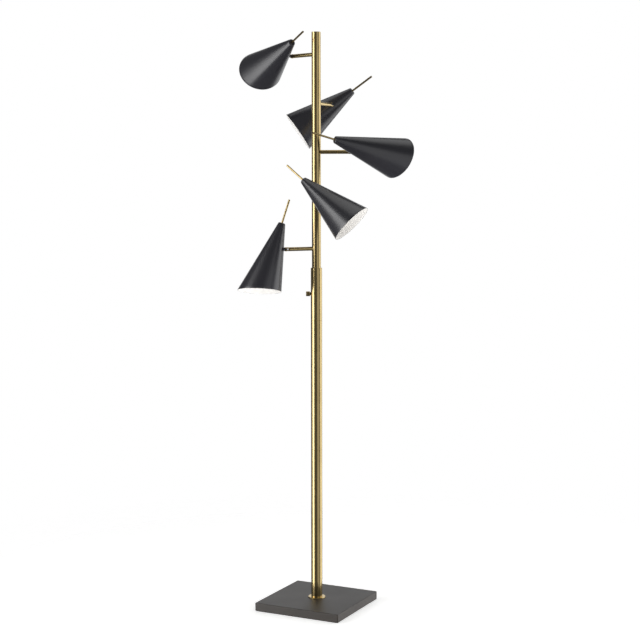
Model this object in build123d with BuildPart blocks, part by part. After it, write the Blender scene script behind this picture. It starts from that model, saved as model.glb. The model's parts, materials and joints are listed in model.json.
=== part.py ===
from build123d import *
from math import atan, cos, radians, sin, tan
import os

# A tree floor lamp: a weighted square base, a brass pole in two widths with a rotary switch,
# and five black cone shades on short arms. Each shade spins on its arm, tilts on a pin and
# turns on a stud. Millimetres, +Z up, origin on the floor under the middle of the base.

os.makedirs("parts", exist_ok=True)

# ---- Clearances ----
fit_gap = 0.05  # around a spigot, screw or bush in its hole
running_gap = 0.05  # around a shaft that turns
stud_gap = 0.08  # around the stud in the thin shade wall
face_gap = 0.3  # between faces that turn past each other
slot_gap = 0.1  # on each side of the eye in its slot

# ---- Base ----
base_side = 286.0
pad_thickness = 2.0
pad_inset = 3.0  # the pad stops short of the cover's edge
cover_height = 25.0
cover_wall = 1.5
cover_edge_radius = 2.5
cover_corner_extra = 0.5  # upright corners are this much rounder
weight_thickness = 14.0
weight_gap = 1.0  # between the casting and the cover's sides
centre_boss_radius = 35.0
corner_boss_radius = 12.0
corner_boss_inset = 26.0

# ---- Fixing rod, nut and washer under the pole ----
rod_radius = 5.0
rod_wall = 2.0
fixing_nut_flats = 17.0
fixing_nut_height = 5.0
washer_radius = 12.0
washer_thickness = 2.0
rod_end = 1.0  # thread left below the nut
recess_clearance = 1.0  # below the rod's end
recess_margin = 4.0  # around the washer

# ---- Cord inlet at the back ----
inlet_bore_radius = 3.5
bushing_wall = 1.5
bushing_flange_rim = 2.0
bushing_flange_thickness = 1.5
bushing_flange_round = 0.6
bushing_lip = 0.6  # snap ring behind the cover's wall
bushing_lip_length = 1.0
inlet_edge = 0.5  # from the cover's lower edge to the bushing's flange
groove_width = 12.0
notch_width = 18.0
notch_depth = 6.0

# ---- Pole ----
lower_pole_radius = 17.5
pole_wall = 1.5
pole_step = 3.5  # the upper pole's radius is this much less
collar_rim = 10.0  # around the pole's foot
collar_thickness = 3.0
collar_bevel = 1.5
bottom_tube_length = 250.0
middle_tube_length = 218.0
third_tube_length = 404.0
switch_tube_length = 160.5
seam_chamfer = 0.3
coupler_height = 24.0
reducer_flange = 1.5
reducer_depth = 40.0
reducer_ledge = 1.5  # the upper pole stands on it
cap_thickness = 2.0
cap_round = 0.8
cap_spigot = 8.0

# ---- Rotary switch ----
switch_azimuth = 207.0
switch_drop = 79.0  # from the top of its tube to the knob's axis
switch_body_width = 14.0
switch_body_height = 20.0
switch_body_depth = 19.0
switch_body_gap = 5.0  # from the body's front to the tube's wall
switch_bushing_wall = 1.95
switch_bushing_rise = 2.0  # outside the tube
knob_radius = 7.4
knob_length = 12.4
knob_round = 1.2
knob_shaft_radius = 3.0

# ---- Arms, with the swivel sleeve at the end of each ----
first_arm_azimuth = 162.0
arm_pitch = 147.5  # down the pole from one arm to the next
top_arm_drop = 65.0  # from the pole's end to the top arm
bottom_arm_rise = 59.0  # from the step to the lowest arm
arm_radius = 6.0
arm_joint = 66.0  # pole axis to the fine joint line
arm_shoulder = 1.0  # the arm's end is this much wider than its spigot
arm_spigot_inside = 1.5  # past the pole's wall
joint_chamfer = 0.4
sleeve_wall = 1.95
spindle_length = 22.0
spindle_end_gap = 0.6
spindle_wall = 1.4
sleeve_web = 4.9  # metal between the spindle's bore and the slot
slot_clearance = 5.5  # from the eye to the slot's bottom
pin_radius = 1.75
pin_head_rim = 1.45
pin_head_height = 1.2
pin_head_round = 0.5
ear_rim = 1.0  # from the pin's head to the square end
ear_flat_depth = 1.0
ear_flat_margin = 0.8  # around the pin's head

# ---- Knuckle ----
eye_wall = 3.2  # around the pin's hole
eye_thickness = 5.0
neck_width = 7.0
ear_clearance = 0.5  # between the ears and the flange
stud_radius = 3.5
flange_rim = 2.0
flange_thickness = 1.45
flange_bevel = 0.8
stud_end = 0.6  # thread left past the nut
shade_nut_rim = 1.25
shade_nut_height = 3.0

# ---- Shade ----
shade_length = 218.0
small_radius = 10.5
mouth_radius = 65.0
mouth_slant = 15.5  # the mouth plane leans by this angle, longest away from the arm
shade_wall = 1.0
shade_end_round = 3.5
foot_height = 76.0  # from the small end to the stud
handle_radius = 3.0
handle_length = 75.0
handle_round = 0.5
handle_rivet_radius = 2.5
handle_head_rim = 2.0
handle_head_height = 1.2

# ---- Lampholder ----
holder_bore_radius = 13.3
holder_bore_depth = 30.0
holder_wall = 3.7
holder_floor = 18.0  # contact block under the bore
holder_chamfer = 1.0
lug_drop = 23.0  # from the stud down to the holder's lower face
lug_thickness = 2.4
lug_rim = 2.0  # beside the stud
lug_end = 4.0  # past the stud
lug_gap = 0.1

# Spin, tilt and turn of each head in degrees, from the top head to the lowest. The shades are
# aimed by hand, so every head has its own three angles.
head_angles = [
    (13.8, 55.0, 106.0),
    (-10.0, 25.5, -116.0),
    (145.5, 40.5, 95.0),
    (119.2, 21.0, 102.5),
    (179.4, 44.0, 12.6),
]

# ---- Radii that follow from others ----
lower_pole_bore = lower_pole_radius - pole_wall
upper_pole_radius = lower_pole_radius - pole_step
upper_pole_bore = upper_pole_radius - pole_wall

# ---- Heights along the pole ----
arm_count = len(head_angles)
cover_top = pad_thickness + cover_height
foot_z = cover_top + collar_thickness
first_seam = foot_z + bottom_tube_length
second_seam = first_seam + middle_tube_length
third_seam = second_seam + third_tube_length
switch_tube_top = third_seam + switch_tube_length
step_z = switch_tube_top + reducer_flange
pole_end = step_z + bottom_arm_rise + (arm_count - 1) * arm_pitch + top_arm_drop

# ================================================================ base
cover_corner_radius = cover_edge_radius + cover_corner_extra
pad_side = base_side - 2 * pad_inset
with BuildPart() as base_pad:
    with BuildSketch():
        RectangleRounded(pad_side, pad_side, cover_corner_radius)
    extrude(amount=pad_thickness)
base_pad.part.label = "base_pad"
export_step(base_pad.part, "parts/base_pad.step")

# The casting lies on the pad and carries the cover on a middle boss and four corner bosses.
weight_side = base_side - 2 * (cover_wall + weight_gap)
weight_top = pad_thickness + weight_thickness
boss_top = cover_top - cover_wall
recess_depth = washer_thickness + fixing_nut_height + rod_end + recess_clearance
recess_radius = washer_radius + recess_margin
corner_boss_pitch = weight_side - 2 * corner_boss_inset
bushing_radius = inlet_bore_radius + bushing_wall
bushing_flange_radius = bushing_radius + bushing_flange_rim
inlet_height = pad_thickness + inlet_edge + bushing_flange_radius
groove_depth = inlet_height + inlet_bore_radius - pad_thickness
with BuildPart() as base_weight:
    with BuildSketch(Plane.XY.offset(pad_thickness)):
        RectangleRounded(weight_side, weight_side, cover_corner_radius)
    extrude(amount=weight_thickness)
    with BuildSketch(Plane.XY.offset(weight_top)):
        Circle(centre_boss_radius)
        with GridLocations(corner_boss_pitch, corner_boss_pitch, 2, 2):
            Circle(corner_boss_radius)
    extrude(amount=boss_top - weight_top)
    with BuildSketch(Plane.XY.offset(pad_thickness)):
        Circle(recess_radius)
    extrude(amount=recess_depth, mode=Mode.SUBTRACT)
    with BuildSketch(Plane.XY.offset(pad_thickness)):
        Circle(rod_radius + fit_gap)
    extrude(amount=cover_height, mode=Mode.SUBTRACT)
    # A groove for the cord runs from the recess to a notch behind the inlet.
    groove_length = weight_side / 2 - washer_radius
    with BuildSketch(Plane.XY.offset(pad_thickness)):
        with Locations((0, weight_side / 2)):
            Rectangle(groove_width, groove_length, align=(Align.CENTER, Align.MAX))
    extrude(amount=groove_depth, mode=Mode.SUBTRACT)
    with BuildSketch(Plane.XY.offset(pad_thickness)):
        with Locations((0, weight_side / 2)):
            Rectangle(notch_width, notch_depth, align=(Align.CENTER, Align.MAX))
    extrude(amount=weight_thickness, mode=Mode.SUBTRACT)
base_weight.part.label = "base_weight"
export_step(base_weight.part, "parts/base_weight.step")

inlet_plane = Plane(origin=(0, base_side / 2, inlet_height), x_dir=(1, 0, 0), z_dir=(0, 1, 0))
with BuildPart() as base_cover:
    with BuildSketch(Plane.XY.offset(pad_thickness)):
        RectangleRounded(base_side, base_side, cover_corner_radius)
    extrude(amount=cover_height)
    fillet(base_cover.faces().sort_by(Axis.Z)[-1].edges(), radius=cover_edge_radius)
    cover_inside = base_side - 2 * cover_wall
    with BuildSketch(Plane.XY.offset(pad_thickness)):
        RectangleRounded(cover_inside, cover_inside, cover_corner_radius - cover_wall)
    extrude(amount=cover_height - cover_wall, mode=Mode.SUBTRACT)
    with BuildSketch(Plane.XY.offset(boss_top)):
        Circle(rod_radius + fit_gap)
    extrude(amount=cover_wall, mode=Mode.SUBTRACT)
    with BuildSketch(inlet_plane):
        Circle(bushing_radius + fit_gap)
    extrude(amount=-cover_wall, mode=Mode.SUBTRACT)
base_cover.part.label = "base_cover"
export_step(base_cover.part, "parts/base_cover.step")

behind_wall = cover_wall + fit_gap
with BuildPart() as cord_bushing:
    with BuildSketch(inlet_plane):
        Circle(bushing_flange_radius)
    extrude(amount=bushing_flange_thickness)
    fillet(cord_bushing.edges().sort_by(Axis.Y)[-1], radius=bushing_flange_round)
    with BuildSketch(inlet_plane):
        Circle(bushing_radius)
    extrude(amount=-behind_wall)
    with BuildSketch(inlet_plane.offset(-behind_wall)):
        Circle(bushing_radius + bushing_lip)
    extrude(amount=-bushing_lip_length)
    bushing_length = bushing_flange_thickness + behind_wall + bushing_lip_length
    with BuildSketch(inlet_plane.offset(bushing_flange_thickness)):
        Circle(inlet_bore_radius)
    extrude(amount=-bushing_length, mode=Mode.SUBTRACT)
cord_bushing.part.label = "cord_bushing"
export_step(cord_bushing.part, "parts/cord_bushing.step")

# ---------------------------------------------------------------- fixing under the pole
washer_top = pad_thickness + recess_depth
with BuildPart() as fixing_washer:
    with BuildSketch(Plane.XY.offset(washer_top)):
        Circle(washer_radius)
        Circle(rod_radius + fit_gap, mode=Mode.SUBTRACT)
    extrude(amount=-washer_thickness)
fixing_washer.part.label = "fixing_washer"
export_step(fixing_washer.part, "parts/fixing_washer.step")

nut_top = washer_top - washer_thickness
with BuildPart() as fixing_nut:
    with BuildSketch(Plane.XY.offset(nut_top)):
        RegularPolygon(fixing_nut_flats / 2, 6, major_radius=False)
        Circle(rod_radius + fit_gap, mode=Mode.SUBTRACT)
    extrude(amount=-fixing_nut_height)
fixing_nut.part.label = "fixing_nut"
export_step(fixing_nut.part, "parts/fixing_nut.step")

rod_bottom = nut_top - fixing_nut_height - rod_end
with BuildPart() as fixing_rod:
    with BuildSketch(Plane.XY.offset(rod_bottom)):
        Circle(rod_radius)
        Circle(rod_radius - rod_wall, mode=Mode.SUBTRACT)
    extrude(amount=foot_z + coupler_height - rod_bottom)
fixing_rod.part.label = "fixing_rod"
export_step(fixing_rod.part, "parts/fixing_rod.step")

with BuildPart() as pole_collar:
    with BuildSketch(Plane.XY.offset(cover_top)):
        Circle(lower_pole_radius + collar_rim)
    extrude(amount=collar_thickness)
    chamfer(pole_collar.edges().sort_by(Axis.Z)[-1], length=collar_bevel)
    with BuildSketch(Plane.XY.offset(cover_top)):
        Circle(rod_radius + fit_gap)
    extrude(amount=collar_thickness, mode=Mode.SUBTRACT)
pole_collar.part.label = "pole_collar"
export_step(pole_collar.part, "parts/pole_collar.step")

# ================================================================ pole
# Three equal-section tubes stand on each other; their chamfered ends show as fine seams.
lower_tubes = [
    ("lower_pole_bottom", foot_z, bottom_tube_length),
    ("lower_pole_middle", first_seam, middle_tube_length),
    ("lower_pole_upper", second_seam, third_tube_length),
]
for tube_name, tube_foot, tube_length in lower_tubes:
    with BuildPart() as lower_tube:
        with BuildSketch(Plane.XY.offset(tube_foot)):
            Circle(lower_pole_radius)
        extrude(amount=tube_length)
        chamfer(lower_tube.edges().filter_by(GeomType.CIRCLE), length=seam_chamfer)
        with BuildSketch(Plane.XY.offset(tube_foot)):
            Circle(lower_pole_bore)
        extrude(amount=tube_length, mode=Mode.SUBTRACT)
    lower_tube.part.label = tube_name
    export_step(lower_tube.part, f"parts/{tube_name}.step")

# Four equal threaded couplers: one in the pole's foot for the rod, one across each seam.
coupler_foots = [foot_z]
for seam in (first_seam, second_seam, third_seam):
    coupler_foots.append(seam - coupler_height / 2)
with BuildPart() as pole_couplers:
    for coupler_foot in coupler_foots:
        with BuildSketch(Plane.XY.offset(coupler_foot)):
            Circle(lower_pole_bore - fit_gap)
            Circle(rod_radius + fit_gap, mode=Mode.SUBTRACT)
        extrude(amount=coupler_height)
pole_couplers.part.label = "pole_couplers"
export_step(pole_couplers.part, "parts/pole_couplers.step")

switch_z = switch_tube_top - switch_drop
switch_bushing_radius = knob_shaft_radius + running_gap + switch_bushing_wall
switch_direction = Vector(1, 0, 0).rotate(Axis.Z, switch_azimuth)
switch_plane = Plane(origin=(0, 0, switch_z), x_dir=(0, 0, 1), z_dir=switch_direction)
with BuildPart() as switch_tube:
    with BuildSketch(Plane.XY.offset(third_seam)):
        Circle(lower_pole_radius)
    extrude(amount=switch_tube_length)
    chamfer(switch_tube.edges().filter_by(GeomType.CIRCLE), length=seam_chamfer)
    with BuildSketch(Plane.XY.offset(third_seam)):
        Circle(lower_pole_bore)
    extrude(amount=switch_tube_length, mode=Mode.SUBTRACT)
    with BuildSketch(switch_plane):
        Circle(switch_bushing_radius + fit_gap)
    extrude(amount=2 * lower_pole_radius, mode=Mode.SUBTRACT)
switch_tube.part.label = "switch_tube"
export_step(switch_tube.part, "parts/switch_tube.step")

# The reducer closes the switch tube with its flange and holds the upper pole on a ledge.
reducer_foot = switch_tube_top - reducer_depth
upper_pole_foot = reducer_foot + reducer_ledge
with BuildPart() as pole_reducer:
    with BuildSketch(Plane.XY.offset(reducer_foot)):
        Circle(lower_pole_bore - fit_gap)
    extrude(amount=reducer_depth)
    with BuildSketch(Plane.XY.offset(switch_tube_top)):
        Circle(lower_pole_radius)
    extrude(amount=reducer_flange)
    chamfer(pole_reducer.edges().sort_by(Axis.Z)[-1], length=seam_chamfer)
    with BuildSketch(Plane.XY.offset(upper_pole_foot)):
        Circle(upper_pole_radius + fit_gap)
    extrude(amount=step_z - upper_pole_foot, mode=Mode.SUBTRACT)
    with BuildSketch(Plane.XY.offset(reducer_foot)):
        Circle(upper_pole_bore)
    extrude(amount=reducer_ledge, mode=Mode.SUBTRACT)
pole_reducer.part.label = "pole_reducer"
export_step(pole_reducer.part, "parts/pole_reducer.step")

# The arms leave the pole one under the other, each a fifth of a turn round from the last.
arm_spigot_radius = arm_radius - arm_shoulder
arm_planes = []
for arm_index in range(arm_count):
    arm_azimuth = first_arm_azimuth - arm_index * 360 / arm_count
    arm_direction = Vector(1, 0, 0).rotate(Axis.Z, arm_azimuth)
    arm_z = pole_end - top_arm_drop - arm_index * arm_pitch
    arm_planes.append(Plane(origin=(0, 0, arm_z), x_dir=(0, 0, 1), z_dir=arm_direction))

with BuildPart() as upper_pole:
    with BuildSketch(Plane.XY.offset(upper_pole_foot)):
        Circle(upper_pole_radius)
        Circle(upper_pole_bore, mode=Mode.SUBTRACT)
    extrude(amount=pole_end - upper_pole_foot)
    for arm_plane in arm_planes:
        with BuildSketch(arm_plane):
            Circle(arm_spigot_radius + fit_gap)
        extrude(amount=2 * upper_pole_radius, mode=Mode.SUBTRACT)
upper_pole.part.label = "upper_pole"
export_step(upper_pole.part, "parts/upper_pole.step")

with BuildPart() as top_cap:
    with BuildSketch(Plane.XY.offset(pole_end)):
        Circle(upper_pole_radius)
    extrude(amount=cap_thickness)
    fillet(top_cap.edges().sort_by(Axis.Z)[-1], radius=cap_round)
    with BuildSketch(Plane.XY.offset(pole_end)):
        Circle(upper_pole_bore - fit_gap)
    extrude(amount=-cap_spigot)
top_cap.part.label = "top_cap"
export_step(top_cap.part, "parts/top_cap.step")

# ---------------------------------------------------------------- rotary switch
# The body hangs inside the tube on its bushing; the knob's shaft turns in the bushing.
switch_body_front = lower_pole_bore - switch_body_gap
bushing_end = lower_pole_radius + switch_bushing_rise
with BuildPart() as rotary_switch:
    with BuildSketch(switch_plane.offset(switch_body_front)):
        Rectangle(switch_body_height, switch_body_width)
    extrude(amount=-switch_body_depth)
    with BuildSketch(switch_plane.offset(switch_body_front)):
        Circle(switch_bushing_radius)
    extrude(amount=bushing_end - switch_body_front)
    with BuildSketch(switch_plane.offset(switch_body_front)):
        Circle(knob_shaft_radius + running_gap)
    extrude(amount=bushing_end - switch_body_front, mode=Mode.SUBTRACT)
rotary_switch.part.label = "rotary_switch"
export_step(rotary_switch.part, "parts/rotary_switch.step")

knob_start = bushing_end + face_gap
shaft_start = switch_body_front + face_gap
with BuildPart() as switch_knob:
    with BuildSketch(switch_plane.offset(knob_start)):
        Circle(knob_radius)
    extrude(amount=knob_length)
    fillet(switch_knob.edges().filter_by(GeomType.CIRCLE), radius=knob_round)
    with BuildSketch(switch_plane.offset(shaft_start)):
        Circle(knob_shaft_radius)
    extrude(amount=knob_start + knob_length / 2 - shaft_start)
switch_knob.part.label = "switch_knob"
export_step(switch_knob.part, "parts/switch_knob.step")

# ================================================================ heads
# Along an arm: distances from the pole's axis.
pin_hole_radius = pin_radius + running_gap
pin_head_radius = pin_radius + pin_head_rim
eye_radius = pin_hole_radius + eye_wall
slot_depth = eye_radius + slot_clearance
slot_width = eye_thickness + 2 * slot_gap
spindle_radius = arm_radius - sleeve_wall - running_gap
wire_radius = spindle_radius - spindle_wall
spigot_start = upper_pole_bore - arm_spigot_inside
sleeve_start = arm_joint + face_gap
spindle_end = arm_joint + spindle_length
sleeve_bore_end = spindle_end + spindle_end_gap
tilt_reach = sleeve_bore_end + sleeve_web + slot_depth
ear_reach = pin_head_radius + ear_rim
flat_offset = arm_radius - ear_flat_depth
flat_length = 2 * (pin_head_radius + ear_flat_margin)

# Across the shade's wall: distances from the tilt pin along the stud.
flange_start = arm_radius + ear_clearance
flange_end = flange_start + flange_thickness
standoff = flange_end + face_gap
wall_inside = standoff + shade_wall
stud_hole_radius = stud_radius + stud_gap
lug_half_width = stud_radius + lug_rim

# In the shade's side view: the axis runs up from the small end, the arm is on the left.
slope = (mouth_radius - small_radius) / shade_length
half_angle = atan(slope)
inner_step = shade_wall / cos(half_angle)  # the wall seen along a radius
mouth_rise = tan(radians(mouth_slant))
long_side = (shade_length + small_radius * mouth_rise) / (1 - slope * mouth_rise)
blank_length = long_side + shade_wall  # the cone before its mouth is cut aslant
blank_radius = small_radius + slope * blank_length
inner_small_radius = small_radius - inner_step + slope * shade_wall
outer_path = [(0, 0), (small_radius, 0), (blank_radius, blank_length)]
inner_path = [
    (0, shade_wall),
    (inner_small_radius, shade_wall),
    (blank_radius - inner_step, blank_length),
]
foot_radius = small_radius + slope * foot_height
pin_x = -foot_radius - standoff * cos(half_angle)
pin_y = foot_height - standoff * sin(half_angle)

# The holder's lug is flat, so its edges come nearest to the round wall, most at its low end.
holder_start = foot_height - lug_drop
holder_length = holder_floor + holder_bore_depth
bore_at_lug = (small_radius - inner_step + slope * holder_start) / cos(half_angle)
lug_outside = wall_inside + lug_half_width**2 / (2 * bore_at_lug) + lug_gap
lug_inside = lug_outside + lug_thickness
nut_start = lug_inside + face_gap
nut_end = nut_start + shade_nut_height
stud_tip = nut_end + stud_end


def side_point(along_wall, across_wall):
    """A point of the side view, from the tilt pin along and across the shade's wall."""
    x = pin_x - along_wall * sin(half_angle) + across_wall * cos(half_angle)
    y = pin_y + along_wall * cos(half_angle) + across_wall * sin(half_angle)
    return (x, y)


def lug_corner(across_wall, height):
    """The corner of the lug that lies across_wall from the pin and at this height."""
    along_wall = (height - pin_y - across_wall * sin(half_angle)) / cos(half_angle)
    return side_point(along_wall, across_wall)


lug_floor = holder_start + lug_thickness
lug_top = stud_radius + lug_end
lug_outline = [
    (0, holder_start),
    lug_corner(lug_outside, holder_start),
    side_point(lug_top, lug_outside),
    side_point(lug_top, lug_inside),
    lug_corner(lug_inside, lug_floor),
    (0, lug_floor),
]

for number, (arm_plane, angles) in enumerate(zip(arm_planes, head_angles), start=1):
    spin, tilt, turn = angles
    arm_direction = arm_plane.z_dir
    pivot = arm_plane.origin + arm_direction * tilt_reach
    pin_direction = Vector(0, 0, 1).rotate(Axis((0, 0, 0), arm_direction), spin)
    stud_direction = arm_direction.rotate(Axis((0, 0, 0), pin_direction), tilt)
    wall_direction = pin_direction.rotate(Axis((0, 0, 0), stud_direction), turn)
    shade_axis = wall_direction * cos(half_angle) + stud_direction * sin(half_angle)
    long_direction = stud_direction * cos(half_angle) - wall_direction * sin(half_angle)
    small_end = pivot - long_direction * pin_x - shade_axis * pin_y

    ear_side = Plane(origin=pivot, x_dir=arm_direction, z_dir=pin_direction)
    eye_side = Plane(origin=pivot, x_dir=stud_direction, z_dir=pin_direction)
    stud_plane = Plane(origin=pivot, x_dir=wall_direction, z_dir=stud_direction)
    end_plane = Plane(origin=small_end, x_dir=long_direction, z_dir=shade_axis)
    side_normal = long_direction.cross(shade_axis)
    side_plane = Plane(origin=small_end, x_dir=long_direction, z_dir=side_normal)

    # The arm butts on the pole with a hollowed end, and its spigot goes through the wall.
    with BuildPart() as arm_tube:
        with BuildSketch(arm_plane):
            Circle(arm_radius)
        extrude(amount=arm_joint)
        with BuildSketch(Plane.XY.offset(arm_plane.origin.Z - 2 * arm_radius)):
            Circle(upper_pole_radius + fit_gap)
        extrude(amount=4 * arm_radius, mode=Mode.SUBTRACT)
        chamfer(arm_tube.edges().filter_by(GeomType.CIRCLE), length=joint_chamfer)
        with BuildSketch(arm_plane.offset(spigot_start)):
            Circle(arm_spigot_radius)
        extrude(amount=arm_joint - spigot_start)
        with BuildSketch(arm_plane.offset(arm_joint)):
            Circle(spindle_radius)
        extrude(amount=spindle_end - arm_joint)
        with BuildSketch(arm_plane.offset(spigot_start)):
            Circle(wire_radius)
        extrude(amount=spindle_end - spigot_start, mode=Mode.SUBTRACT)
    arm_tube.part.label = f"arm_tube_{number}"
    export_step(arm_tube.part, f"parts/arm_tube_{number}.step")

    # The sleeve turns on the arm's spindle; its slotted end makes two ears for the pin.
    with BuildPart() as swivel_sleeve:
        with BuildSketch(arm_plane.offset(sleeve_start)):
            Circle(arm_radius)
        extrude(amount=tilt_reach + ear_reach - sleeve_start)
        sleeve_line = Axis(arm_plane.origin, arm_direction)
        chamfer(swivel_sleeve.edges().sort_by(sleeve_line)[0], length=joint_chamfer)
        with BuildSketch(ear_side):
            Circle(arm_radius)
            Rectangle(tilt_reach, 2 * arm_radius, align=(Align.MAX, Align.CENTER))
        extrude(amount=arm_radius, both=True, mode=Mode.INTERSECT)
        with BuildSketch(ear_side.offset(flat_offset)):
            Rectangle(flat_length, 2 * arm_radius)
        extrude(amount=arm_radius, mode=Mode.SUBTRACT)
        with BuildSketch(ear_side.offset(-flat_offset)):
            Rectangle(flat_length, 2 * arm_radius)
        extrude(amount=-arm_radius, mode=Mode.SUBTRACT)
        with BuildSketch(arm_plane.offset(sleeve_start)):
            Circle(spindle_radius + running_gap)
        extrude(amount=sleeve_bore_end - sleeve_start, mode=Mode.SUBTRACT)
        with BuildSketch(arm_plane.offset(sleeve_start)):
            Circle(wire_radius)
        extrude(amount=tilt_reach - sleeve_start, mode=Mode.SUBTRACT)
        with BuildSketch(ear_side):
            with Locations((-slot_depth, 0)):
                Rectangle(2 * slot_depth, 4 * arm_radius, align=(Align.MIN, Align.CENTER))
        extrude(amount=slot_width / 2, both=True, mode=Mode.SUBTRACT)
        with BuildSketch(ear_side):
            Circle(pin_hole_radius)
        extrude(amount=arm_radius, both=True, mode=Mode.SUBTRACT)
    swivel_sleeve.part.label = f"swivel_sleeve_{number}"
    export_step(swivel_sleeve.part, f"parts/swivel_sleeve_{number}.step")

    # The pin is riveted over at both ears.
    with BuildPart() as knuckle_pin:
        with BuildSketch(ear_side.offset(flat_offset)):
            Circle(pin_head_radius)
        extrude(amount=pin_head_height)
        with BuildSketch(ear_side.offset(-flat_offset)):
            Circle(pin_head_radius)
        extrude(amount=-pin_head_height)
        head_rings = knuckle_pin.edges().group_by(Axis(pivot, pin_direction))
        fillet(head_rings[0] + head_rings[-1], radius=pin_head_round)
        with BuildSketch(ear_side):
            Circle(pin_radius)
        extrude(amount=flat_offset, both=True)
    knuckle_pin.part.label = f"knuckle_pin_{number}"
    export_step(knuckle_pin.part, f"parts/knuckle_pin_{number}.step")

    # The knuckle: an eye in the slot, a neck, a flange against the shade and a threaded stud.
    with BuildPart() as knuckle:
        with BuildSketch(stud_plane.offset(flange_start)):
            Circle(stud_radius + flange_rim)
        extrude(amount=flange_end - flange_start)
        flange_ring = knuckle.edges().sort_by(Axis(pivot, stud_direction))[0]
        chamfer(flange_ring, length=flange_bevel)
        with BuildSketch(stud_plane.offset(flange_start)):
            Circle(stud_radius)
        extrude(amount=stud_tip - flange_start)
        with BuildSketch(eye_side):
            Circle(eye_radius)
            Rectangle(flange_end, neck_width, align=(Align.MIN, Align.CENTER))
            Circle(pin_hole_radius, mode=Mode.SUBTRACT)
        extrude(amount=eye_thickness / 2, both=True)
    knuckle.part.label = f"knuckle_{number}"
    export_step(knuckle.part, f"parts/knuckle_{number}.step")

    with BuildPart() as shade_nut:
        with BuildSketch(stud_plane.offset(nut_start)):
            RegularPolygon(stud_radius + shade_nut_rim, 6, major_radius=False)
            Circle(stud_radius + fit_gap, mode=Mode.SUBTRACT)
        extrude(amount=shade_nut_height)
    shade_nut.part.label = f"shade_nut_{number}"
    export_step(shade_nut.part, f"parts/shade_nut_{number}.step")

    # The shade is a spun cone with a closed small end and a mouth cut aslant.
    with BuildPart() as shade:
        with BuildSketch(side_plane):
            with BuildLine():
                FilletPolyline(outer_path, radius=shade_end_round)
                FilletPolyline(inner_path, radius=shade_end_round - shade_wall)
                Line(outer_path[0], inner_path[0])
                Line(outer_path[-1], inner_path[-1])
            make_face()
        revolve(axis=Axis(small_end, shade_axis))
        mouth_centre = small_end + shade_axis * shade_length
        mouth_normal = shade_axis * cos(radians(mouth_slant))
        mouth_normal -= long_direction * sin(radians(mouth_slant))
        mouth_plane = Plane(origin=mouth_centre, x_dir=side_normal, z_dir=mouth_normal)
        split(bisect_by=mouth_plane, keep=Keep.BOTTOM)
        with BuildSketch(end_plane):
            Circle(handle_rivet_radius + fit_gap)
        extrude(amount=shade_wall, mode=Mode.SUBTRACT)
        with BuildSketch(stud_plane.offset(flange_end)):
            Circle(stud_hole_radius)
        extrude(amount=lug_outside - flange_end, mode=Mode.SUBTRACT)
    shade.part.label = f"shade_{number}"
    export_step(shade.part, f"parts/shade_{number}.step")

    # A straight brass handle, riveted through the small end, for aiming the shade.
    with BuildPart() as aim_rod:
        with BuildSketch(end_plane):
            Circle(handle_radius)
        extrude(amount=-handle_length)
        handle_tip = aim_rod.edges().sort_by(Axis(small_end, shade_axis))[0]
        fillet(handle_tip, radius=handle_round)
        with BuildSketch(end_plane):
            Circle(handle_rivet_radius)
        extrude(amount=shade_wall + fit_gap)
        with BuildSketch(end_plane.offset(shade_wall + fit_gap)):
            Circle(handle_rivet_radius + handle_head_rim)
        extrude(amount=handle_head_height)
    aim_rod.part.label = f"aim_rod_{number}"
    export_step(aim_rod.part, f"parts/aim_rod_{number}.step")

    # The lampholder hangs on a bent lug that the shade nut holds through the wall.
    with BuildPart() as lampholder:
        with BuildSketch(end_plane.offset(holder_start)):
            Circle(holder_bore_radius + holder_wall)
        extrude(amount=holder_length)
        chamfer(lampholder.edges().filter_by(GeomType.CIRCLE), length=holder_chamfer)
        with BuildSketch(side_plane):
            with BuildLine():
                Polyline(lug_outline, close=True)
            make_face()
        extrude(amount=lug_half_width, both=True)
        with BuildSketch(end_plane.offset(holder_start + holder_length)):
            Circle(holder_bore_radius)
        extrude(amount=-holder_bore_depth, mode=Mode.SUBTRACT)
        with BuildSketch(stud_plane.offset(standoff)):
            Circle(stud_hole_radius)
        extrude(amount=nut_start - standoff, mode=Mode.SUBTRACT)
    lampholder.part.label = f"lampholder_{number}"
    export_step(lampholder.part, f"parts/lampholder_{number}.step")
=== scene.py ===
# %% [markdown]
# # Dressing a tree floor lamp
# The lamp is a brass pole on a black base, with five black cone shades on short arms. Its solid
# parts come packed from the workshop drawing, already in place and in metres. This lesson gives
# them a camera, a light and real finishes. It also makes the few pieces whose shape is finer than
# the drawing: the spun shade skins, the screw shells and contact tongues inside them, and the
# ribbed switch knob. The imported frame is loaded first, because the places and directions of the
# heads and of the knob are read from it. Sizes below are in millimetres where nothing else is
# said, and MM turns them into metres.

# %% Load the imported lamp
import json
import math

import bmesh
import bpy
from mathutils import Matrix, Vector


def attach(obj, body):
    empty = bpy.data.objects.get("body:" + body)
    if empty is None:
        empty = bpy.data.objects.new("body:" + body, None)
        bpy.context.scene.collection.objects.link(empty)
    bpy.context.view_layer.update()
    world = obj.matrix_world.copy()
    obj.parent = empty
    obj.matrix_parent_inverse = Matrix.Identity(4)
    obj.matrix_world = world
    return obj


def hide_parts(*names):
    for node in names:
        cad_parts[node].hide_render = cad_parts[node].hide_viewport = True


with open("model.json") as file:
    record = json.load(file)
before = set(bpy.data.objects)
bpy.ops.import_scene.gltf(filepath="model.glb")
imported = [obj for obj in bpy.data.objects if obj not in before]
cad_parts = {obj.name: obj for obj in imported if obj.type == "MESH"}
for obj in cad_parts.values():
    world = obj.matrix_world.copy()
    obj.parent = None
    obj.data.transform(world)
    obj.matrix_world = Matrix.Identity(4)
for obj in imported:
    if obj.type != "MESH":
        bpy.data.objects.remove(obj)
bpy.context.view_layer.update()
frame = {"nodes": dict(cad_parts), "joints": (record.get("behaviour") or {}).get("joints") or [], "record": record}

MM = 0.001
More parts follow.
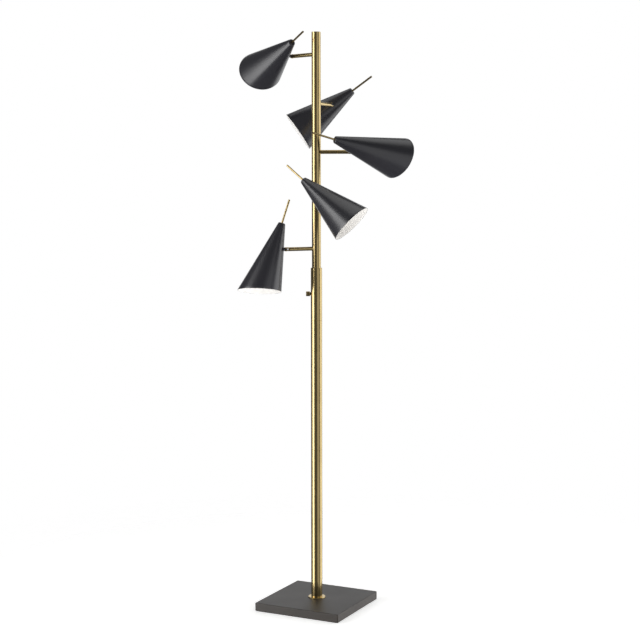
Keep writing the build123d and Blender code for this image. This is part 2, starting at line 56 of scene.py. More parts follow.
UP = Vector((0, 0, 1))
scene = bpy.context.scene
joints = {joint["name"]: joint for joint in frame["joints"]}
mounts = {mount["name"]: mount for mount in frame["record"]["mounts"]}

# %% [markdown]
# ## The camera
# A product photograph is taken from far away with a long lens, so the lamp hardly tapers. The
# camera could be placed by eye, but a pole of known height and a square base of known width fix
# it exactly: its distance, its height, its small tilt and its focal length all come out of the
# places of the base's corners and of the pole's ends. Blender's camera looks along its own -Z,
# so it is first stood upright and then turned about the vertical.

# %% Place the camera
CAMERA_DISTANCE = 4.4518  # from the pole's axis, in metres
CAMERA_HEIGHT = 1.3261  # in metres
CAMERA_TURN = math.radians(26.8)  # the base is seen on a corner
CAMERA_PITCH = math.radians(5.44)  # downwards
CAMERA_YAW = math.radians(0.14)
CAMERA_ROLL = math.radians(-0.06)
UPRIGHT = math.radians(90)
FOCAL_SHARE = 1447 / 640  # focal length over the picture's width
SENSOR_WIDTH = 36

camera_data = bpy.data.cameras.new("studio_camera")
camera_data.sensor_width = SENSOR_WIDTH
camera_data.lens = FOCAL_SHARE * SENSOR_WIDTH
camera = bpy.data.objects.new("studio_camera", camera_data)
scene.collection.objects.link(camera)
toward_camera = Vector((math.sin(CAMERA_TURN), -math.cos(CAMERA_TURN), 0))
to_the_right = Vector((math.cos(CAMERA_TURN), math.sin(CAMERA_TURN), 0))
camera.matrix_world = (
    Matrix.Translation(toward_camera * CAMERA_DISTANCE + UP * CAMERA_HEIGHT)
    @ Matrix.Rotation(CAMERA_TURN - CAMERA_YAW, 4, "Z")
    @ Matrix.Rotation(UPRIGHT - CAMERA_PITCH, 4, "X")
    @ Matrix.Rotation(CAMERA_ROLL, 4, "Z")
)
scene.camera = camera
print("camera at", [round(x, 3) for x in camera.matrix_world.translation])
print("lens of", round(camera_data.lens, 2), "mm")

# %% [markdown]
# ## Colours and nodes
# Colours are easiest to read as the hex codes of a paint chart. Those are sRGB, and Blender's
# sockets want linear light, so one function turns the one into the other. A second function adds
# any node at all: its settings are given as keywords and its sockets in a dictionary, where a
# socket takes a plain value or the output of another node. Every further node is added by it. The
# two mixing nodes have several sockets of one name, so the numbers of those are named here.

# %% Colour and node helpers
FACTOR = 0
SHADER_A, SHADER_B = 1, 2  # inputs of the shader mix
COLOUR_A, COLOUR_B, COLOUR_OUT = 6, 7, 2  # inputs and output of the colour mix


def linear(hex_code):
    """The linear RGBA of an sRGB hex colour, by the curve of the sRGB standard."""
    channels = [int(hex_code[i : i + 2], 16) / 255 for i in (1, 3, 5)]
    return [c / 12.92 if c <= 0.04045 else ((c + 0.055) / 1.055) ** 2.4 for c in channels] + [1.0]


def add_node(tree, kind, sockets=None, **settings):
    """Adds a node with its settings, and fills its sockets with values or links."""
    node = tree.nodes.new(kind)
    for name, value in settings.items():
        setattr(node, name, value)
    for key, value in (sockets or {}).items():
        if isinstance(value, bpy.types.NodeSocket):
            tree.links.new(value, node.inputs[key])
        else:
            node.inputs[key].default_value = value
    return node


def mix_shaders(tree, factor, first, second):
    """A blend of two shaders: all first where the factor is 0, all second where it is 1."""
    sockets = {FACTOR: factor, SHADER_A: first, SHADER_B: second}
    return add_node(tree, "ShaderNodeMixShader", sockets).outputs["Shader"]


print("mid grey in linear light:", round(linear("#808080")[0], 3))

# %% [markdown]
# ## The floor
# The lamp stands on a plain pale floor that runs on into a plain white background, as on a
# studio's paper sweep. A curved sweep would hide the lamp from behind, so the floor is a flat
# disc instead. Its paper fades to clear towards its edge, where only the white room is left, so
# there is no horizon from any side. A little glow in the paper stands for the light that a real
# sweep gets from all round. The paper doesn't show in reflections: with a pale floor mirrored in
# it, the foot of the pole would lose the stripes that make it look like polished tube. It casts
# no shadow either, because the tall lights reach down past it.

# %% Lay the floor
FLOOR_RADIUS = 1.7  # in metres
FADE_START = 0.45  # in metres; the paper is solid inside this radius
FLOOR_SEGMENTS = 96
FLOOR_GLOW = 0.5
PAPER_WHITE = "#F4F4F2"
PAPER_ROUGHNESS = 0.9  # paper has no gloss to speak of

floor_mesh = bmesh.new()
bmesh.ops.create_circle(floor_mesh, cap_ends=True, radius=FLOOR_RADIUS, segments=FLOOR_SEGMENTS)
floor_data = bpy.data.meshes.new("paper_floor")
floor_mesh.to_mesh(floor_data)
floor_mesh.free()
floor = bpy.data.objects.new("paper_floor", floor_data)
scene.collection.objects.link(floor)
floor.visible_glossy = False
floor.visible_shadow = False

paper = bpy.data.materials.new("white_sweep_paper")
paper.use_nodes = True
tree = paper.node_tree
place = add_node(tree, "ShaderNodeTexCoord").outputs["Object"]
radius = add_node(tree, "ShaderNodeVectorMath", {"Vector": place}, operation="LENGTH")
fade = add_node(
    tree,
    "ShaderNodeMapRange",
    {"Value": radius.outputs["Value"], "From Min": FADE_START, "From Max": FLOOR_RADIUS},
    interpolation_type="SMOOTHSTEP",
)
clear = add_node(tree, "ShaderNodeBsdfTransparent")
sheet = tree.nodes["Principled BSDF"]
sheet.inputs["Base Color"].default_value = linear(PAPER_WHITE)
sheet.inputs["Roughness"].default_value = PAPER_ROUGHNESS
sheet.inputs["Emission Color"].default_value = linear("#FFFFFF")
sheet.inputs["Emission Strength"].default_value = FLOOR_GLOW
faded = mix_shaders(tree, fade.outputs["Result"], sheet.outputs["BSDF"], clear.outputs["BSDF"])
tree.links.new(faded, tree.nodes["Material Output"].inputs["Surface"])
floor_data.materials.append(paper)
print("floor disc of", FLOOR_RADIUS, "m")

# %% [markdown]
# ## The light
# Polished tube shows the whole studio squeezed into its width, so the light is built for the
# reflections. A tall soft box on the left gives the pole and the shades their bright stripe. The
# side where the camera stands has only a faint box, which draws the dark stripe beside it. A wide
# pale wall on the right fills the other half, and a softer one behind the lamp lights its edges. A
# square one overhead lights the base and the tops of the shades. One low down in front stands for
# the light that the paper throws up into the white shades, and is kept out of reflections. All are
# plain white area lights that the camera doesn't see, and the tall ones reach below the floor, so
# that a stripe runs down to the pole's foot. The room is a quiet grey, white only to the camera.

# %% Hang the lights
ROOM_GREY = 0.12


def soft_box(name, bearing, distance, height, size, brightness, aim):
    """An area light, in metres, whose face has the given radiance and looks at the pole.

    The bearing is counted from the camera's side, positive to the right, in degrees, and aim is
    the height on the pole that it looks at.
    """
    turn = math.radians(bearing)
    outward = toward_camera * math.cos(turn) + to_the_right * math.sin(turn)
    data = bpy.data.lights.new(name, "AREA")
    data.shape = "RECTANGLE"
    data.size, data.size_y = size
    data.energy = brightness * math.pi * size[0] * size[1]
    light = bpy.data.objects.new(name, data)
    light.location = outward * distance + UP * height
    aimed = UP * aim - light.location
    light.rotation_mode = "QUATERNION"
    light.rotation_quaternion = aimed.to_track_quat("-Z", "Y")
    light.visible_camera = False
    scene.collection.objects.link(light)
    print(name, "at", [round(x, 2) for x in light.location], round(data.energy, 1), "W")
    return light


soft_box(
    "key_box", bearing=-70, distance=2.3, height=0.9, size=(1.5, 3.6), brightness=3.3, aim=0.9
)
soft_box(
    "fill_wall", bearing=108, distance=2.3, height=0.9, size=(2.8, 3.6), brightness=1.4, aim=0.9
)
soft_box(
    "front_fill", bearing=36, distance=3.0, height=0.9, size=(2.6, 3.6), brightness=0.5, aim=0.9
)
soft_box(
    "back_sweep", bearing=180, distance=3.5, height=1.2, size=(3.4, 3.4), brightness=0.85, aim=1.2
)
soft_box(
    "top_box", bearing=170, distance=0.5, height=3.1, size=(2.0, 2.0), brightness=0.8, aim=0.0
)
bounce = soft_box(
    "floor_bounce", bearing=25, distance=1.0, height=0.03, size=(1.6, 1.6), brightness=3.1, aim=1.4
)
bounce.visible_glossy = False

room = bpy.data.worlds.new("studio_room")
room.use_nodes = True
scene.world = room
tree = room.node_tree
tree.nodes.clear()
seen = add_node(tree, "ShaderNodeLightPath").outputs["Is Camera Ray"]
grey = add_node(tree, "ShaderNodeBackground", {"Color": linear("#F2F4F8"), "Strength": ROOM_GREY})
white = add_node(tree, "ShaderNodeBackground", {"Color": linear("#FFFFFF"), "Strength": 1.0})
walls = mix_shaders(tree, seen, grey.outputs["Background"], white.outputs["Background"])
add_node(tree, "ShaderNodeOutputWorld", {"Surface": walls})
scene.view_settings.view_transform = "Standard"
scene.view_settings.look = "None"

# %% [markdown]
# ## Making a finish
# Each finish starts from one Principled shader. What is the same all over the surface is written
# on the shader's own sockets, from typical values for that material: the refractive index, how
# metallic it is and how rough. Only what varies gets nodes. A metal keeps the default index. The
# patterns sit in the part's own coordinates, in metres, so their sizes can be real ones. Three
# small functions let a pattern vary the colour, the roughness or the relief, and the last one
# puts a finish on solid parts of the lamp.

# %% Begin, vary and use a finish
def begin_finish(name, roughness, metallic=0.0, ior=None, coat=0.0, coat_roughness=0.1):
    """A new Principled finish. Returns the material, its tree, its shader and its place."""
    material = bpy.data.materials.new(name)
    material.use_nodes = True
    tree = material.node_tree
    shader = tree.nodes["Principled BSDF"]
    shader.inputs["Roughness"].default_value = roughness
    shader.inputs["Metallic"].default_value = metallic
    shader.inputs["Coat Weight"].default_value = coat
    shader.inputs["Coat Roughness"].default_value = coat_roughness
    if ior:
        shader.inputs["IOR"].default_value = ior
    place = add_node(tree, "ShaderNodeTexCoord").outputs["Object"]
    return material, tree, shader, place


def grain_of(tree, place, size, detail=2.0, roughness=0.5):
    """A soft random pattern from 0 to 1, whose grain has this size."""
    scale = 1 / (size * MM)
    sockets = {"Vector": place, "Scale": scale, "Detail": detail, "Roughness": roughness}
    return add_node(tree, "ShaderNodeTexNoise", sockets).outputs["Fac"]


def vary_colour(tree, shader, pattern, light, dark):
    """Takes the colour from light to dark along with the pattern."""
    sockets = {FACTOR: pattern, COLOUR_A: linear(light), COLOUR_B: linear(dark)}
    tone = add_node(tree, "ShaderNodeMix", sockets, data_type="RGBA")
    tree.links.new(tone.outputs[COLOUR_OUT], shader.inputs["Base Color"])


def vary_roughness(tree, shader, pattern, spread):
    """Moves the roughness along with the pattern, by up to spread to either side."""
    middle = shader.inputs["Roughness"].default_value
    sockets = {"Value": pattern, "To Min": middle - spread, "To Max": middle + spread}
    satin = add_node(tree, "ShaderNodeMapRange", sockets)
    tree.links.new(satin.outputs["Result"], shader.inputs["Roughness"])


def vary_height(tree, shader, pattern, strength, depth):
    """Gives the surface a relief of this depth along with the pattern."""
    sockets = {"Height": pattern, "Strength": strength, "Distance": depth * MM}
    relief = add_node(tree, "ShaderNodeBump", sockets)
    tree.links.new(relief.outputs["Normal"], shader.inputs["Normal"])


def dress(nodes, material):
    """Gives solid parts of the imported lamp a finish."""
    for node in nodes:
        frame["nodes"][node].data.materials.clear()
        frame["nodes"][node].data.materials.append(material)
    print(material.name, "on", len(nodes), "parts")


print("a grain of 2 mm has a texture scale of", 1 / (2 * MM))

# %% [markdown]
# ## Satin brass
# The pole, arms and handles are steel tube, plated with brass, ground round and lacquered.
# Grinding leaves fine rings round the tube, which keep the reflected stripes sharp across it and
# soften them along it. An image of scratches would need unwrapping, so a stretched noise is used:
# 0.6 mm along the tube, drawn coarser than real grinding lines so that it shows, and tens of
# millimetres round it. The rings must follow each tube's own direction, so the mapping is turned
# to it, and each direction gets its own copy of the finish. The lacquer is a thin clear coat.
# The plating's colour drifts slowly from pale gold to olive, which the eye reads as antique brass.

# %% Satin brass
RING_PITCH = 0.6
RING_LENGTH = 30.0
RING_DEPTH = 0.01
RING_STRENGTH = 0.1
PATINA_SIZE = 55.0
BRASS_LIGHT = "#CFB983"
BRASS_DARK = "#B39C6A"
BRASS_ROUGHNESS = 0.18
BRASS_SPREAD = 0.05
LACQUER_WEIGHT = 0.15
LACQUER_ROUGHNESS = 0.1


def satin_brass(name, point, direction):
    """Ground and lacquered brass plate on a tube through point, along direction."""
    material, tree, shader, place = begin_finish(
        name, BRASS_ROUGHNESS, metallic=1.0, coat=LACQUER_WEIGHT, coat_roughness=LACQUER_ROUGHNESS
    )
    turned = add_node(
        tree,
        "ShaderNodeMapping",
        {
            "Vector": place,
            "Location": Vector(point),
            "Rotation": UP.rotation_difference(Vector(direction)).to_euler(),
            "Scale": Vector((RING_LENGTH, RING_LENGTH, RING_PITCH)) * MM,
        },
        vector_type="TEXTURE",
    )
    # The mapping has brought the rings to size, so the noise itself keeps a scale of 1.
    stretched = {"Vector": turned.outputs["Vector"], "Scale": 1.0, "Detail": 3.0}
    rings = add_node(tree, "ShaderNodeTexNoise", stretched).outputs["Fac"]
    patina = grain_of(tree, place, PATINA_SIZE, detail=4.0, roughness=0.6)
    vary_colour(tree, shader, patina, BRASS_LIGHT, BRASS_DARK)
    vary_roughness(tree, shader, rings, BRASS_SPREAD)
    vary_height(tree, shader, rings, RING_STRENGTH, RING_DEPTH)
    return material


POLE_PARTS = [
    "pole_collar", "lower_pole_bottom", "lower_pole_middle", "lower_pole_upper",
    "switch_tube", "pole_reducer", "upper_pole", "top_cap",
]
dress(POLE_PARTS, satin_brass("satin_brass_pole", (0, 0, 0), UP))

# %% [markdown]
# ## The five heads
# Every head has the same parts, aimed its own way: an arm from the pole, a sleeve that spins on
# it, a knuckle that tilts on a riveted pin, and a shade that turns on the knuckle's stud. The
# directions are not typed in again. The arm's direction is the axis of the spin joint, the stud's
# is the axis of the turn joint, and the shade's axis is that of its bulb socket. The stud stands
# square on the cone's side, so the direction across the shade follows from the cone's half angle.

# %% Read the heads from the frame
HEADS = range(1, 6)
SOCKET_MOUTH = 101.0  # from the shade's small end to the mouth of the bulb socket
SMALL_RADIUS = 10.5
MOUTH_RADIUS = 65.0
SHADE_LENGTH = 218.0
SLOPE = (MOUTH_RADIUS - SMALL_RADIUS) / SHADE_LENGTH  # radius gained for each mm of axis
HALF_ANGLE = math.atan(SLOPE)

heads = {}
for number in HEADS:
    spin, tilt, turn = (joints[f"head_{number}_{move}"] for move in ("spin", "tilt", "turn"))
    socket = mounts[f"bulb_socket_{number}"]
    axis = Vector(socket["axis"]).normalized()
    stud = Vector(turn["axis"]).normalized()
    across = ((stud - axis * math.sin(HALF_ANGLE)) / math.cos(HALF_ANGLE)).normalized()
    heads[number] = {
        "pivot": Vector(turn["pos_m"]),
        "arm": Vector(spin["axis"]).normalized(),
        "pin": Vector(tilt["axis"]).normalized(),
        "stud": stud,
        "axis": axis,
        "across": across,
        "side": axis.cross(across),
        "tip": Vector(socket["pos_m"]) - axis * SOCKET_MOUTH * MM,
    }
    print("head", number, "shade axis", [round(x, 3) for x in axis])

for number, head in heads.items():
    arm_brass = satin_brass(f"satin_brass_arm_{number}", head["pivot"], head["arm"])
    pin_brass = satin_brass(f"satin_brass_pin_{number}", head["pivot"], head["pin"])
    rod_brass = satin_brass(f"satin_brass_handle_{number}", head["tip"], head["axis"])
    dress([f"arm_tube_{number}", f"swivel_sleeve_{number}"], arm_brass)
    dress([f"knuckle_pin_{number}"], pin_brass)
    dress([f"aim_rod_{number}"], rod_brass)

# %% [markdown]
# ## Satin black powder coat
# The shades, knuckles and base are steel with a baked black powder coat. The powder melts into a
# skin with a slight orange peel, whose bumps are about 1.5 mm apart and a few hundredths deep.
# That breaks a reflection into the soft grey glow which tells satin from gloss. The colour is
# not pure black: two near blacks drift into each other over a hand's width, cool ones on the
# shades and warm ones on the base. The base has a duller coat than the shades, and mirrors the
# foot of the pole only as a soft glow. Such a coat has a refractive index near 1.5. That value
# left the highlights too weak, so it was matched upwards until they came near the real lamp's.

# %% Black powder coat
DRIFT_SIZE = 90.0
COAT_SPREAD = 0.04
PEEL_DEPTH = 0.04
PEEL_STRENGTH = 0.5


def powder_coat(name, light, dark, roughness, peel_size, ior):
    """Baked powder coat with an orange peel of this size."""
    material, tree, shader, place = begin_finish(name, roughness, ior=ior)
    drift = grain_of(tree, place, DRIFT_SIZE)
    peel = grain_of(tree, place, peel_size, detail=1.5, roughness=0.4)
    vary_colour(tree, shader, drift, light, dark)
    vary_roughness(tree, shader, drift, COAT_SPREAD)
    vary_height(tree, shader, peel, PEEL_STRENGTH, PEEL_DEPTH)
    return material


# A cool black with long soft highlights, as on a freshly coated shade.
shade_black = powder_coat(
    "powder_coated_shade_black", "#29282C", "#24242A", roughness=0.30, peel_size=1.5, ior=1.75
)
# A warmer, duller black, which turns a reflection into a glow.
base_black = powder_coat(
    "powder_coated_base_black", "#29231D", "#231F1C", roughness=0.48, peel_size=1.8, ior=1.6
)
dress([f"knuckle_{number}" for number in HEADS], shade_black)
dress(["base_cover"], base_black)

# %% [markdown]
# ## White enamel
# The inside of each shade is sprayed with a white baking enamel that throws the bulb's light
# out. It is a dielectric with an index near 1.52, and flatter than the black outside. The spray
# leaves a soft grain, and the white leans a little to cream, so that it looks like paint and not
# like the paper behind it.

# %% White enamel
ENAMEL_ROUGHNESS = 0.42
SPRAY_SIZE = 1.2
SPRAY_DEPTH = 0.02
SPRAY_STRENGTH = 0.2
CLOUD_SIZE = 40.0

inside_white, tree, shader, place = begin_finish(
    "sprayed_white_enamel", ENAMEL_ROUGHNESS, ior=1.52
)
vary_colour(tree, shader, grain_of(tree, place, CLOUD_SIZE), "#F2F0ED", "#EBE9E6")
vary_height(tree, shader, grain_of(tree, place, SPRAY_SIZE), SPRAY_STRENGTH, SPRAY_DEPTH)
print(inside_white.name, "is ready")

# %% [markdown]
# ## Skins from rings
# The spun shade, the screw shell and the switch knob are all round, but none is a plain cone or
# cylinder: the shade's mouth is cut aslant, the shell has a thread and the knob has ribs. All
# three can be laid out as rings of points, with one ring joined to the next by quads. One helper
# does that, and can close the rings into a loop, so that a sheet has an inside and an outside. A
# second helper lays out one ring square to any direction.

# %% Join rings into a skin
SMOOTH_LIMIT = math.radians(32)  # edges sharper than this stay sharp


def ring_skin(name, rings, looped=False, capped=False, finish_of=None, finishes=()):
    """One closed skin over rings of points. finish_of gives a quad row its finish number."""
    build = bmesh.new()
    rows = [[build.verts.new(point) for point in ring] for ring in rings]
    pairs = list(zip(rows, rows[1:] + rows[:1] if looped else rows[1:]))
    count = len(rows[0])
    for step, (lower, upper) in enumerate(pairs):
        for k in range(count):
            after = (k + 1) % count
            quad = build.faces.new((lower[k], lower[after], upper[after], upper[k]))
            quad.material_index = finish_of(step) if finish_of else 0
    if capped:
        build.faces.new(rows[0])
        build.faces.new(rows[-1])
    bmesh.ops.recalc_face_normals(build, faces=build.faces)
    data = bpy.data.meshes.new(name)
    build.to_mesh(data)
    build.free()
    data.shade_smooth()
    data.set_sharp_from_angle(angle=SMOOTH_LIMIT)
    for finish in finishes:
        data.materials.append(finish)
    piece = bpy.data.objects.new(name, data)
    scene.collection.objects.link(piece)
    return piece


def turned_ring(foot, turned, radii, far):
    """A ring square to a turned axis, far from its foot, with one radius for each point."""
    ring = []
    for k, radius in enumerate(radii):
        turn = 2 * math.pi * k / len(radii)
        r = radius * MM
        ring.append(foot + turned @ Vector((r * math.cos(turn), r * math.sin(turn), far * MM)))
    return ring


print("edges stay sharp past", round(math.degrees(SMOOTH_LIMIT)), "degrees")

# %% [markdown]
# ## The spun shades
# A shade is a disc of 1 mm steel, spun over a wooden cone until it wraps it. So its small end is
# a flat disc with a round edge, its side is straight, and its wall has one thickness. The mouth is
# then cut at a slant of 15.5 degrees and its edge is rounded over. Cutting a plain cone with a
# plane would leave a raw sharp edge, so each line of the cone is given its own length instead, and
# the rings bunch up where the cone is short. The rings run down the outside, over the rim and up
# the inside, where the white enamel starts.

# %% Shade profile
WALL = 1.0
END_ROUND = 3.5
RIVET_HOLE = 2.52  # the radius of the hole for the handle, in the small end
MOUTH_SLANT = math.radians(15.5)
MOUTH_RISE = math.tan(MOUTH_SLANT)
ROUND_LINES = 168  # lines down the cone
SIDE_RINGS = 30
CORNER_RINGS = 7
RIM_RINGS = 6


def side_length(start_radius, back):
    """For each line of a cone, how far along the axis the slanted mouth is, less back mm."""
    lengths = []
    for k in range(ROUND_LINES):
        cosine = math.cos(2 * math.pi * k / ROUND_LINES)
        far = SHADE_LENGTH - back + MOUTH_RISE * start_radius * cosine
        lengths.append(far / (1 - MOUTH_RISE * SLOPE * cosine))
    return lengths


def end_rings(thickness):
    """Rings over the small end and its round edge, this far inside the outer face."""
    bend = math.pi / 2 - HALF_ANGLE
    centre = SMALL_RADIUS - END_ROUND * math.tan(bend / 2)
    bend_radius = END_ROUND - thickness
    rings = [[(RIVET_HOLE, thickness)] * ROUND_LINES]
    for i in range(CORNER_RINGS):
        angle = -math.pi / 2 + bend * i / (CORNER_RINGS - 1)
        point = (centre + bend_radius * math.cos(angle), END_ROUND + bend_radius * math.sin(angle))
        rings.append([point] * ROUND_LINES)
    return rings


def rim_rings():
    """Rings over the rounded edge of the mouth, from the outside to the inside."""
    half = WALL / 2
    middle_radius = SMALL_RADIUS - half / math.cos(HALF_ANGLE)
    middle_far = side_length(middle_radius, half / math.cos(MOUTH_SLANT))
    rings = []
    for i in range(RIM_RINGS + 1):
        angle = math.pi * i / RIM_RINGS
        out, on = half * math.cos(angle), half * math.sin(angle)
        wider = out * math.cos(HALF_ANGLE) + on * math.sin(HALF_ANGLE)
        further = on * math.cos(HALF_ANGLE) - out * math.sin(HALF_ANGLE)
        rings.append([(middle_radius + SLOPE * far + wider, far + further) for far in middle_far])
    return rings


def side_rings(start, end):
    """Rings evenly spread between two others."""
    return [
        [(a[0] + (b[0] - a[0]) * share, a[1] + (b[1] - a[1]) * share) for a, b in zip(start, end)]
        for share in (i / SIDE_RINGS for i in range(1, SIDE_RINGS))
    ]


# Each ring is a list of (radius, distance along the axis), one pair for each line of the cone.
outer, rim, inner = end_rings(0.0), rim_rings(), end_rings(WALL)
outside = outer + side_rings(outer[-1], rim[0])
inside = side_rings(rim[-1], inner[-1]) + inner[::-1]
profile = outside + rim + inside
white_from = len(outside) + RIM_RINGS - 1
print(len(profile), "rings of", ROUND_LINES, "points, white from ring", white_from)

# %% [markdown]
# ### Cutting the stud's hole
# The knuckle's stud goes through the side of the shade, 76 mm from its small end. The hole is
# drilled, so here it is cut too, with a boolean against a drill of the hole's size. The result is
# applied at once, so that the piece is plain mesh again. The skin takes the place of the solid
# shade, and rides with the shade's body.

# %% Spin and drill the shades
HOLE_RADIUS = 3.58
DRILL_LINES = 48
DRILL_START, DRILL_END = 5.0, 14.0  # along the stud, from the pivot


def at_head(head, radius, far, turn):
    """The point at this radius and distance from a shade's small end, in the lamp's frame."""
    outward = head["across"] * math.cos(turn) + head["side"] * math.sin(turn)
    return head["tip"] + head["axis"] * far * MM + outward * radius * MM


def drill(piece, foot, direction):
    """Cuts the stud's hole through a piece, along a direction from foot."""
    turned = direction.to_track_quat("Z", "Y")
    radii = [HOLE_RADIUS] * DRILL_LINES
    ends = [turned_ring(foot, turned, radii, far) for far in (DRILL_START, DRILL_END)]
    bit = ring_skin("drill_bit", ends, capped=True)
    cut = piece.modifiers.new("drill", "BOOLEAN")
    cut.operation = "DIFFERENCE"
    cut.solver = "EXACT"
    cut.object = bit
    drilled = piece.evaluated_get(bpy.context.evaluated_depsgraph_get())
    mesh = bpy.data.meshes.new_from_object(drilled)
    piece.modifiers.clear()
    piece.data = mesh
    bpy.data.objects.remove(bit)
    mesh.set_sharp_from_angle(angle=SMOOTH_LIMIT)


for number, head in heads.items():
    rings = [
        [
            at_head(head, radius, far, 2 * math.pi * k / ROUND_LINES)
            for k, (radius, far) in enumerate(ring)
        ]
        for ring in profile
    ]
    shade = ring_skin(
        f"shade_skin_{number}",
        rings,
        looped=True,
        finish_of=lambda step: int(step >= white_from),
        finishes=(shade_black, inside_white),
    )
    drill(shade, head["pivot"], head["stud"])
    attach(shade, f"shade_{number}")
    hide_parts(f"shade_{number}")
    print(shade.name, len(shade.data.polygons), "faces")

# %% [markdown]
# ## Moulded phenolic, and the other hidden materials
# The bulb sockets are moulded phenolic: a hard brown-black thermoset with a fine mould skin and an
# index near 1.6. The fixings under the base are zinc plated steel, the cord's bushing is moulded
# nylon, the weight is grey cast iron and the pad below it is pressed wool felt. One function
# covers them: a mottle of two tones at the size of the real grain, with a bump of its depth.

# %% Plain workshop materials
GRAIN_STRENGTH = 0.6


def grained(name, light, dark, size, depth, roughness, spread, **facts):
    """A material with a mottle of two tones, whose grain has this size and depth."""
    material, tree, shader, place = begin_finish(name, roughness, **facts)
    grain = grain_of(tree, place, size, detail=4.0, roughness=0.6)
    vary_colour(tree, shader, grain, light, dark)
    vary_roughness(tree, shader, grain, spread)
    vary_height(tree, shader, grain, GRAIN_STRENGTH, depth)
    return material


# Phenolic: near black with a brown cast and a dull gloss.
phenolic = grained(
    "moulded_phenolic", "#2A221D", "#1B1613",
    size=2.0, depth=0.02, roughness=0.36, spread=0.05, ior=1.6,
)
dress([f"lampholder_{number}" for number in HEADS] + ["rotary_switch"], phenolic)
# Zinc plate: bright blue-grey with a cloudy passivation.
zinc = grained(
    "zinc_plated_steel", "#C9CCD0", "#A9ACB0",
    size=3.0, depth=0.01, roughness=0.32, spread=0.08, metallic=1.0,
)
dress(["fixing_rod", "fixing_washer", "fixing_nut", "pole_couplers"], zinc)
dress([f"shade_nut_{number}" for number in HEADS], zinc)
# Nylon: a soft black with little gloss.
nylon = grained(
    "moulded_nylon", "#232324", "#1B1B1C",
    size=0.8, depth=0.015, roughness=0.48, spread=0.04, ior=1.53,
)
dress(["cord_bushing"], nylon)
# Cast iron: the sand of the mould leaves a dark, rough skin.
cast_iron = grained(
    "sand_cast_iron", "#4A4745", "#2C2A29",
    size=1.6, depth=0.25, roughness=0.62, spread=0.12, metallic=0.7,
)
dress(["base_weight"], cast_iron)
# Felt: matted wool fibres, with no gloss at all.
felt = grained(
    "pressed_wool_felt", "#2B2B2C", "#151516",
    size=0.7, depth=0.30, roughness=0.95, spread=0.04, ior=1.5,
)
dress(["base_pad"], felt)

# %% [markdown]
# ## The screw shells
# Inside each socket is a shell of thin brass, rolled with the thread of a standard bulb: seven
# turns to the inch, a little over 3.6 mm a turn. A spiral groove could be swept, but a ring skin
# does it more simply: the radius rises and falls with the height, and the wave is moved on by the
# angle, so that it climbs one turn for each turn round.

# %% Roll the screw shells
THREAD_PITCH = 25.4 / 7
SHELL_RADIUS = 12.75
THREAD_DEPTH = 0.45
SHELL_WALL = 0.35
SHELL_START, SHELL_END = 75.0, 98.5  # along the shade's axis
SHELL_RINGS = 72
SHELL_LINES = 72
THREAD_FADE = 3.0  # the thread dies out over this length at each end


def shell_radius(far, turn):
    """The thread's radius at this distance along the axis and this angle."""
    edge = min(far - SHELL_START, SHELL_END - far) / THREAD_FADE
    strength = THREAD_DEPTH * max(0.0, min(1.0, edge))
    return SHELL_RADIUS + strength * math.sin(2 * math.pi * far / THREAD_PITCH - turn)


def shell_rings(head, inset):
    """The rings of one face of a shell, this far inside the outer one."""
    rings = []
    for i in range(SHELL_RINGS + 1):
        far = SHELL_START + (SHELL_END - SHELL_START) * i / SHELL_RINGS
        turns = [2 * math.pi * k / SHELL_LINES for k in range(SHELL_LINES)]
        rings.append(
            [at_head(head, shell_radius(far, turn) - inset, far, turn) for turn in turns]
        )
    return rings


# Rolled brass: thin bright strip with only a faint grain.
shell_brass = grained(
    "rolled_shell_brass", "#D8BF86", "#C0A266",
    size=1.5, depth=0.01, roughness=0.26, spread=0.06, metallic=1.0,
)
for number, head in heads.items():
    faces = shell_rings(head, 0.0) + shell_rings(head, SHELL_WALL)[::-1]
    shell = ring_skin(f"screw_shell_{number}", faces, looped=True, finishes=(shell_brass,))
    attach(shell, f"shade_{number}")
print("thread of", round(THREAD_PITCH, 2), "mm pitch in", len(heads), "shells")

# %% [markdown]
# ## The centre contacts
# At the bottom of each socket a tongue of spring brass reaches the bulb's tip. It is a strip,
# riveted at one side and bent up over the middle, so it is drawn as a side view with a thickness
# and given a width.

# %% Bend the contact tongues
TONGUE_WIDTH = 6.0
TONGUE_THICKNESS = 0.4
SOCKET_FLOOR = 71.0  # along the shade's axis
TONGUE_LINE = [  # distance across the shade, height over the socket's floor
    (-9.0, 0.25), (-6.0, 0.25), (-4.6, 0.5), (-1.5, 3.4), (0.5, 4.3), (2.6, 4.0), (3.6, 3.0),
]
TONGUE_SECTION = [
    (-TONGUE_WIDTH / 2, 0.0),
    (TONGUE_WIDTH / 2, 0.0),
    (TONGUE_WIDTH / 2, TONGUE_THICKNESS),
    (-TONGUE_WIDTH / 2, TONGUE_THICKNESS),
]

for number, head in heads.items():
    rings = []
    for x, height in TONGUE_LINE:
        ring = []
        for y, lift in TONGUE_SECTION:
            z = SOCKET_FLOOR + height + lift
            offset = head["across"] * x + head["side"] * y + head["axis"] * z
            ring.append(head["tip"] + offset * MM)
        rings.append(ring)
    tongue = ring_skin(f"contact_tongue_{number}", rings, capped=True, finishes=(shell_brass,))
    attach(tongue, f"shade_{number}")
print(len(heads), "contact tongues")

# %% [markdown]
# ## The switch knob
# The rotary switch has a small turned brass knob. Fingers need a grip on it, so its side has
# straight ribs, as a knurling wheel presses them. The drawing has a plain knob of the same size:
# the ribs are cut into it here, and they fade out before the rounded edges. A ring can't shrink to
# a point, so the skin starts and ends on a ring too small to see.

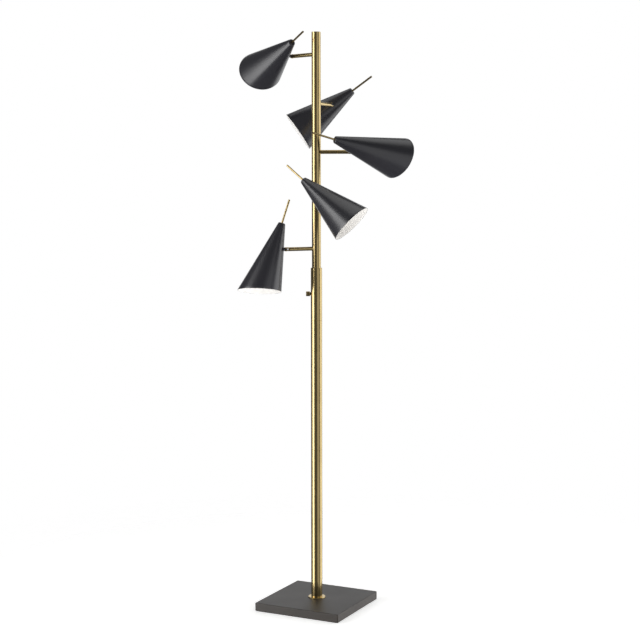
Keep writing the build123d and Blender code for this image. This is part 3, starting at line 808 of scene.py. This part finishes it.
# %% Turn and knurl the knob
KNOB_RADIUS = 7.4
KNOB_START, KNOB_END = 19.8, 32.2  # along the switch's shaft, from the pole's axis
KNOB_ROUND = 1.2
ROUND_STEPS = 4
RIBS = 40
RIB_DEPTH = 0.35
RIB_MARGIN = 0.5  # plain side between the ribs and a rounded edge
RIB_FADE = 0.06  # share of their length over which the ribs fade out at each end
POINTS_PER_RIB = 6
SHAFT_RADIUS = 3.0
SHAFT_START = 11.3
FIRST_RADIUS = 0.01
DISH_DEPTH = 0.5  # the front face is turned slightly hollow
DISH_EDGE = 0.85  # share of the face's radius at which the hollow starts
DISH_SHARES = (DISH_EDGE, 0.6, 0.3, 0.002)

switch_joint = joints["switch_turn"]
shaft_axis = Vector(switch_joint["axis"]).normalized()
shaft_foot = Vector((0, 0, switch_joint["pos_m"][2]))
shaft_turn = shaft_axis.to_track_quat("Z", "Y")


def knob_ring(radius, far, ribbed=0.0):
    """A ring round the switch's shaft, with its ribs pressed in by the share ribbed."""
    count = RIBS * POINTS_PER_RIB
    waves = [0.5 - 0.5 * math.cos(RIBS * 2 * math.pi * k / count) for k in range(count)]
    radii = [radius - RIB_DEPTH * ribbed * wave for wave in waves]
    return turned_ring(shaft_foot, shaft_turn, radii, far)


def knob_rings():
    """From the shaft's end in the pole, round the knob, to the middle of its face."""
    face_radius = KNOB_RADIUS - KNOB_ROUND
    angles = [math.pi / 2 * i / ROUND_STEPS for i in range(ROUND_STEPS + 1)]
    edge = [
        (face_radius + KNOB_ROUND * math.sin(a), KNOB_ROUND * (1 - math.cos(a))) for a in angles
    ]
    ribs_start = KNOB_START + KNOB_ROUND + RIB_MARGIN
    ribs_end = KNOB_END - KNOB_ROUND - RIB_MARGIN
    rings = [
        knob_ring(FIRST_RADIUS, SHAFT_START),
        knob_ring(SHAFT_RADIUS, SHAFT_START),
        knob_ring(SHAFT_RADIUS, KNOB_START),
    ]
    rings += [knob_ring(radius, KNOB_START + inset) for radius, inset in edge]
    for share, ribbed in ((0, 0), (RIB_FADE, 1), (1 - RIB_FADE, 1), (1, 0)):
        rings.append(knob_ring(KNOB_RADIUS, ribs_start + (ribs_end - ribs_start) * share, ribbed))
    rings += [knob_ring(radius, KNOB_END - inset) for radius, inset in edge[::-1]]
    for share in DISH_SHARES:
        dish = DISH_DEPTH * (1 - (share / DISH_EDGE) ** 2)
        rings.append(knob_ring(face_radius * share, KNOB_END - dish))
    return rings


knob_brass = satin_brass("satin_brass_knob", switch_joint["pos_m"], shaft_axis)
knob = ring_skin("ribbed_knob", knob_rings(), capped=True, finishes=(knob_brass,))
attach(knob, "knob")
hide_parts("switch_knob")
print(knob.name, len(knob.data.polygons), "faces")
